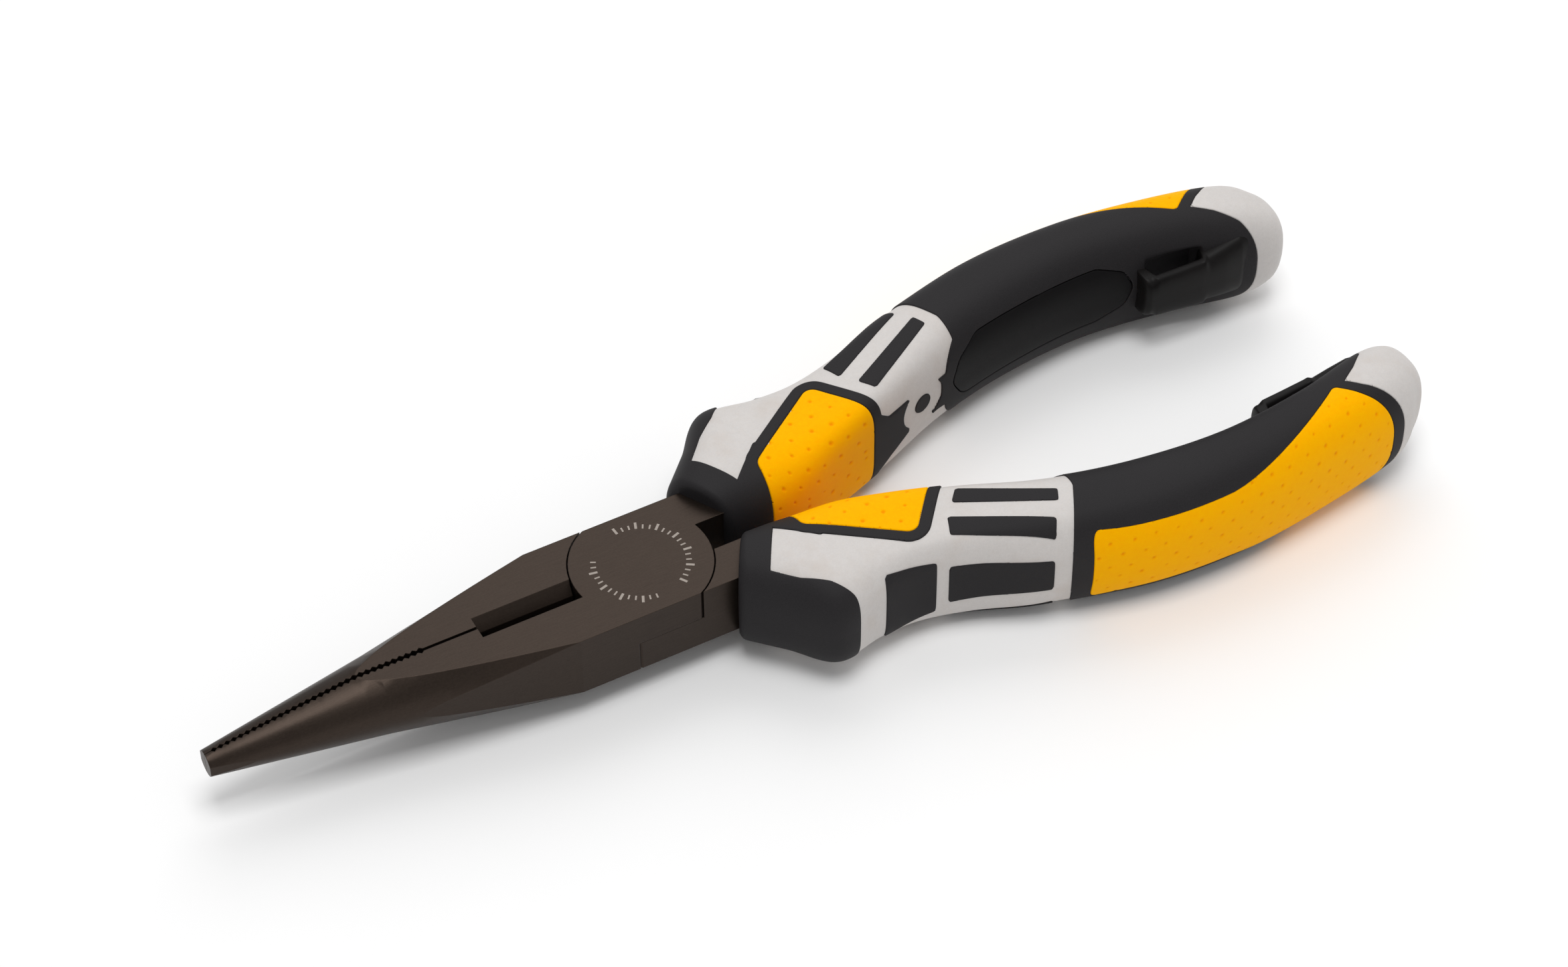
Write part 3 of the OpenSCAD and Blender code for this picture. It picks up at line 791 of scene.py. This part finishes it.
# %% [markdown]
# ## Bars
#
# The bars are black inlays in the pale core: four bars, a patch behind the lobe and a dot. They
# lie a hair below the surface, as inlays do after the pale plastic has shrunk round them, and one
# join makes them a single object of separate solids.

# %% Bars
BARS = [
    [[45.3, 14.6], [47.3, 12.2], [60.6, 20.2], [59.5, 22.4]],
    [[43.3, 16.8], [57.7, 24.9], [56.4, 27.2], [42, 20]],
]
BAR_ROUND, SIDE_ROUND = 0.4, 0.5
# On the outer side: x and height above the middle, with the range of y where each holds
SIDE_BAR, SIDE_BAR_Y = [[40.9, -4], [40.9, 4], [55.9, 3.2], [55.9, -3.2]], (19, 40)
PATCH, PATCH_Y = [[30.2, -7], [30.2, 7], [39, 5.4], [39, -5.4]], (17, 40)
INLAY_DROP = 0.05                # how far an inlay lies below the surface

bars = join(*[plan(corners, BAR_ROUND) for corners in BARS],
            side_view(SIDE_BAR, SIDE_BAR_Y, SIDE_ROUND),
            side_view(PATCH, PATCH_Y, SIDE_ROUND), round_on_inner_side(DOT_R))
on_both_grips("inlaid_bars", "bars", "black_rubber", RUBBER,
              *moulded(bars, SKIN, roll=0.15, lift=-INLAY_DROP)[:2])

# %% [markdown]
# ## Rear of the grip
#
# The black sleeve covers the rear of the grip. It has an opening for the amber palm pad, another
# for the oval panel, and a pale cap closes its end. The four share their outlines, so that they
# meet: each is cut with the others' fields instead of being drawn again.

# %% Outlines at the rear of the grip
REAR = [[57.6, 4], [57.6, 13.2], [61.2, 14.3], [63.6, 16.6], [63, 20.6], [57.6, 30.6], [57.6, 45],
        [145, 45], [145, 4]]
REAR_ROUND = 0.8
PALM_X, PALM_TOP = (61.7, 84.0, 108.6), 31.9     # front, highest point and rear of its inner edge
PALM_FALL = ((0.00285, 2.3), (0.0245, 1.85))     # factor and power, ahead of that point and behind
PALM_ROUND = 1
BAND_W = 1.8                     # the black band between the palm pad and the cap
CAP = [[119.6, 6], [119.4, 13.8], [117.2, 17.2], [114, 20.2], [110.6, 22.6], [114, 24.8], [119.2, 28.8],
       [122, 45], [145, 45], [145, 6]]
OVAL = [[62.4, -1], [65, -5.6], [92, -5.6], [97, -3.6], [98.6, 0], [97, 3.6], [92, 5.6], [68, 5.6], [64, 3]]
OVAL_Z = 1.4                     # the oval's middle is this far above the grip's
OVAL_Y, OVAL_ROUND = (3, 21), 3
PANEL_GAP = 0.15                 # left open all round the panel, so that a dark line shows


def palm_outline():
    """The pad's inner edge falls away on both sides of its highest point, slowly at the front and
    faster at the rear, each as a power of the distance. The rest is straight."""
    x = np.linspace(PALM_X[0], PALM_X[2], 25)
    ahead, behind = np.clip(PALM_X[1] - x, 0, None), np.clip(x - PALM_X[1], 0, None)
    (front_factor, front_power), (rear_factor, rear_power) = PALM_FALL
    y = PALM_TOP - front_factor * ahead ** front_power - rear_factor * behind ** rear_power
    return np.column_stack([x, y]).tolist() + [[112.4, 26], [117.6, 30], [121, 40], [PALM_X[0], 40]]


PALM = palm_outline()
rear = cut(plan(REAR, REAR_ROUND), round_on_inner_side(RING_R))
palm = plan(PALM, PALM_ROUND)
cap = cut(plan(CAP), plan(PALM, PALM_ROUND, BAND_W))
oval = side_view([[x, z + OVAL_Z] for x, z in OVAL], OVAL_Y, OVAL_ROUND)

# %% Pocket behind the tether slot
SLOT = (100.6, 110.0)            # where the slot starts and ends in x
SLOT_HIGH = 6.2                  # how far the pocket reaches above and below the middle
SLOT_FLOOR = 19.4                # y of its floor
POCKET_SLOPE, POCKET_FADE = 0.6, 1.2     # widths of its sloping ends and of its fading edges
POCKET_DEEPEST = 6


def pocket(points, floor):
    """How far to move points so that none between the slot's ends is nearer the middle than a floor.
    The ends of the pocket slope, and its upper and lower edges fade out."""
    x, y, z = points[:, 0], points[:, 1], points[:, 2] - MID_Z
    from_end = np.minimum(x - SLOT[0], SLOT[1] - x)
    inside = np.clip((from_end + POCKET_SLOPE / 2) / POCKET_SLOPE, 0, 1)
    inside = inside * np.clip((SLOT_HIGH - np.abs(z)) / POCKET_FADE, 0, 1)
    moved = np.zeros_like(points)
    moved[:, 1] = np.clip(floor - y, 0, POCKET_DEEPEST) * inside
    return moved


def slot_pocket(points, normals, along, around):
    """Pushes the inner side out to a floor between the ends of the slot under the bridge."""
    return pocket(points, SLOT_FLOOR), np.zeros(len(points))


# %% Sleeve, panel, palm pad and cap
sleeve = cut(rear, palm, cap, oval)
on_both_grips("sleeve_moulding", "sleeve", "black_rubber", RUBBER,
              *moulded(sleeve, SKIN, roll=0.15, shape=slot_pocket)[:2])
on_both_grips("oval_panel", "side_panel", "black_panel", PANEL,
              *moulded(lambda p: oval(p) + PANEL_GAP, SKIN, roll=0.1, lift=-INLAY_DROP)[:2])
on_both_grips("palm_pad_moulding", "palm_pad", "amber_pad", AMBER,
              *moulded(cut(palm, cap), FINE_SKIN, shape=dimples(3.5, 2.5, 0.4, 0.15)))
on_both_grips("end_cap_moulding", "end_cap", "pale_plastic", PALE, *moulded(cap, SKIN)[:2])

# %% [markdown]
# ## Core
#
# The hard pale core is moulded round the steel first, and shows between the black pieces. It
# needs no outline of its own: it is the whole grip a little smaller, so it fills every place that
# the other pieces leave open. Where it must not show, it is set back.

# %% Core
CORE_INSET = 0.22                # how far the core lies below the other pieces
CORE_BACK = 1.2                  # the core's front face lies this far behind the collar's
CORE_SUNK = 1.2                  # it lies this much deeper under the oval panel, so the line is dark
CORE_BELOW = 0.6                 # and this far behind the floor of the slot's pocket


def core():
    """The whole grip a little smaller, set back at the front, hollowed behind the slot and sunk
    under the oval panel, which fades out over 1 mm."""
    skin = Skin(0.5, inset=CORE_INSET)
    points = skin.points.copy()
    points[:, 0:2] += np.maximum(CORE_BACK - behind_front(points), 0)[:, None] * BACKWARD
    points -= CORE_SUNK * np.clip(1 - oval(points), 0, 1)[:, None] * skin.normals
    return points + pocket(points, SLOT_FLOOR + CORE_BELOW), skin.triangles


on_both_grips("core_moulding", "core", "pale_plastic", PALE, *core())

# %% [markdown]
# ## Tether bridge
#
# The bridge is a strap that stands off the inner side of the sleeve, with a slot under it for a
# cord. A bent box with a Bevel modifier would do, but its ends have to sink into the sleeve. So it
# is a rounded rectangle carried along x: its inner side is nearly straight, and its outer side
# steps in over the slot and back into the sleeve at both ends.

# %% Bridge
STRAP_T = 2.2                    # thickness over the slot
STRAP_ROOT = 20.5                # y of its outer side where it lies inside the sleeve
STRAP_SQUARENESS = 3.5
STRAP_ROWS, STRAP_COLUMNS, CLOSING_ROWS = 120, 72, 5
FRONT_LENGTH, FRONT_DEPTH = 0.8, 0.9     # the rounded front end: its length and how far it falls back
STEP_W = 1.0                     # width of the step at each end of the slot
# Along the strap: x, its inner side, its upper edge and its lower edge
STRAP = np.array([
    [99.0, 14.9, 4.6, -3.4],
    [104.0, 14.6, 4.7, -3.9],
    [109.0, 14.3, 4.9, -4.4],
    [113.4, 14.2, 6.0, -5.0],
    [116.4, 14.3, 6.8, -5.4],
    [119.0, 14.9, 6.9, -5.4],
])


def bridge():
    """Rows along x of a superellipse in y and z, closed at both ends by shrinking rows."""
    start, end = STRAP[0, 0], STRAP[-1, 0]
    x = np.concatenate([np.full(CLOSING_ROWS, start), np.linspace(start, end, STRAP_ROWS),
                        np.full(CLOSING_ROWS, end)])
    line, high, low = (np.interp(x, STRAP[:, 0], STRAP[:, k]) for k in (1, 2, 3))
    front = np.clip((x - start) / FRONT_LENGTH, 0, 1)
    inner = line + FRONT_DEPTH * (1 - np.sqrt(1 - (1 - front) ** 2))
    over_slot = np.clip((np.minimum(x - SLOT[0], SLOT[1] - x) + STEP_W / 2) / STEP_W, 0, 1)
    over_slot = over_slot ** 2 * (3 - 2 * over_slot)
    outer = STRAP_ROOT + (line + STRAP_T - STRAP_ROOT) * over_slot
    half_z, middle_z = (high - low) / 2, (high + low) / 2
    t = np.linspace(0, 2 * np.pi, STRAP_COLUMNS, endpoint=False)
    reach = superellipse(t, STRAP_SQUARENESS)
    opening = np.linspace(0, 1, CLOSING_ROWS, endpoint=False)
    close = np.concatenate([opening, np.ones(STRAP_ROWS), opening[::-1]])
    y = ((inner + outer) / 2)[:, None] + ((outer - inner) / 2 * close)[:, None] * (np.cos(t) * reach)
    z = MID_Z + middle_z[:, None] + (half_z * close)[:, None] * (np.sin(t) * reach)
    points = np.stack([np.repeat(x[:, None], len(t), 1), y, z], -1)
    return points.reshape(-1, 3), wrapped_triangles(*points.shape[:2])


on_both_grips("bridge_moulding", "tether_bridge", "black_plastic", PLASTIC, *bridge())

# %% [markdown]
# ## Etched ring on the joint
#
# The flat top of the joint carries a ring of small etched strokes in two arcs. A mask in the
# steel's finish could draw them, but as pieces they keep their sharp ends. They are thin plates
# that stand a hair above the steel, so that they don't fight with it for the same depth.

# %% Ring of strokes
STROKE_LOW, STROKE_HIGH = 6.8, 8.1       # radii where a stroke starts and a long one ends
STROKE_SHORTER = 0.45                    # two strokes in three are shorter by this
STROKE_ARCS = ((-58, 96), (152, 266))    # where each arc starts and ends, in degrees
STROKE_PITCH = 8.5                       # degrees from one stroke to the next
WIDE, NARROW = 0.2, 0.13                 # half widths of long and short strokes
STROKE_BELOW, STROKE_T = 0.05, 0.065     # how far a plate starts below the steel, and its thickness


def strokes():
    """Each stroke is a thin box: its middle angle steps along an arc, and its length repeats."""
    angles = np.radians(np.concatenate([np.arange(*arc, STROKE_PITCH) for arc in STROKE_ARCS]))
    index = np.arange(len(angles))
    reach = np.where(index % 3 == 0, STROKE_HIGH, STROKE_HIGH - STROKE_SHORTER)
    width = np.where(index % 3 == 0, WIDE, NARROW)
    corner_r = np.array([0, 1, 1, 0, 0, 1, 1, 0])
    corner_w = np.array([-1, -1, 1, 1, -1, -1, 1, 1])
    corner_z = np.array([0, 0, 0, 0, 1, 1, 1, 1])
    radius = STROKE_LOW + (reach[:, None] - STROKE_LOW) * corner_r
    offset = width[:, None] * corner_w
    c, s = np.cos(angles)[:, None], np.sin(angles)[:, None]
    x, y = radius * c - offset * s, radius * s + offset * c
    z = np.broadcast_to(HEAD_T - STROKE_BELOW + STROKE_T * corner_z, x.shape)
    box = np.array([[3, 2, 1], [3, 1, 0], [4, 5, 6], [4, 6, 7], [0, 1, 5], [0, 5, 4],
                    [1, 2, 6], [1, 6, 5], [2, 3, 7], [2, 7, 6], [3, 0, 4], [3, 4, 7]])
    faces = (box[None] + 8 * index[:, None, None]).reshape(-1, 3)
    return np.stack([x, y, z], -1).reshape(-1, 3), faces


ring = as_object("etched_strokes", *strokes(), MARK)
ring.data.polygons.foreach_set("use_smooth", np.zeros(len(ring.data.polygons), bool))
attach(ring, "root")
print("ring of", len(ring.data.vertices) // 8, "strokes")

# %% [markdown]
# ## Floor and light
#
# A pale floor and two large soft lamps stand in for a studio table. The key hangs overhead and
# draws a bright line along the nose. The other stands behind and shines in the flat tops. A sky
# picture would light it as softly, but lamps of a known size and place are easier to adjust.

# %% Stage
FLOOR_HALF = 3000                # half the floor's width, in millimetres
FLOOR_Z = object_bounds()[0][2] / MM - 0.02


def area_light(name, place, aim, size, power):
    """A square lamp: it is yawed and pitched so that it shines from its place to its aim."""
    data = bpy.data.lights.new(name, "AREA")
    data.shape, data.size, data.energy = "SQUARE", size, power
    lamp = bpy.data.objects.new(name, data)
    bpy.context.scene.collection.objects.link(lamp)
    lamp.location = place
    direction = np.array(aim) - np.array(place)
    yaw = math.atan2(direction[1], direction[0])
    pitch = math.atan2(np.hypot(direction[0], direction[1]), -direction[2])
    lamp.rotation_euler = (pitch, 0, yaw - math.pi / 2)
    print(name, "lamp of", power, "W")


def pale_floor():
    """A matt floor that is nearly white, with broad faint clouds."""
    f = Finish("pale floor")
    grain = f.noise(40, 2, 0.5)
    return f.set(Base_Color=f.mix(grain, (0.93, 0.93, 0.93), (0.95, 0.95, 0.95)), Roughness=0.8)


corners = np.array([[-1, -1], [1, -1], [1, 1], [-1, 1]]) * FLOOR_HALF
floor = as_object("floor", np.column_stack([corners, np.full(4, FLOOR_Z)]),
                  np.array([[0, 1, 2], [0, 2, 3]]), pale_floor())
area_light("key", (0.0, -0.16, 1.1), (0.03, 0, 0), 0.5, 5.6)
area_light("back", (0.38, 0.66, 0.8), (0.03, 0, 0), 0.8, 3.4)
world = bpy.data.worlds.new("studio")
world.use_nodes = True
world.node_tree.nodes["Background"].inputs["Color"].default_value = (1, 1, 1, 1)
world.node_tree.nodes["Background"].inputs["Strength"].default_value = 0.5
bpy.context.scene.world = world
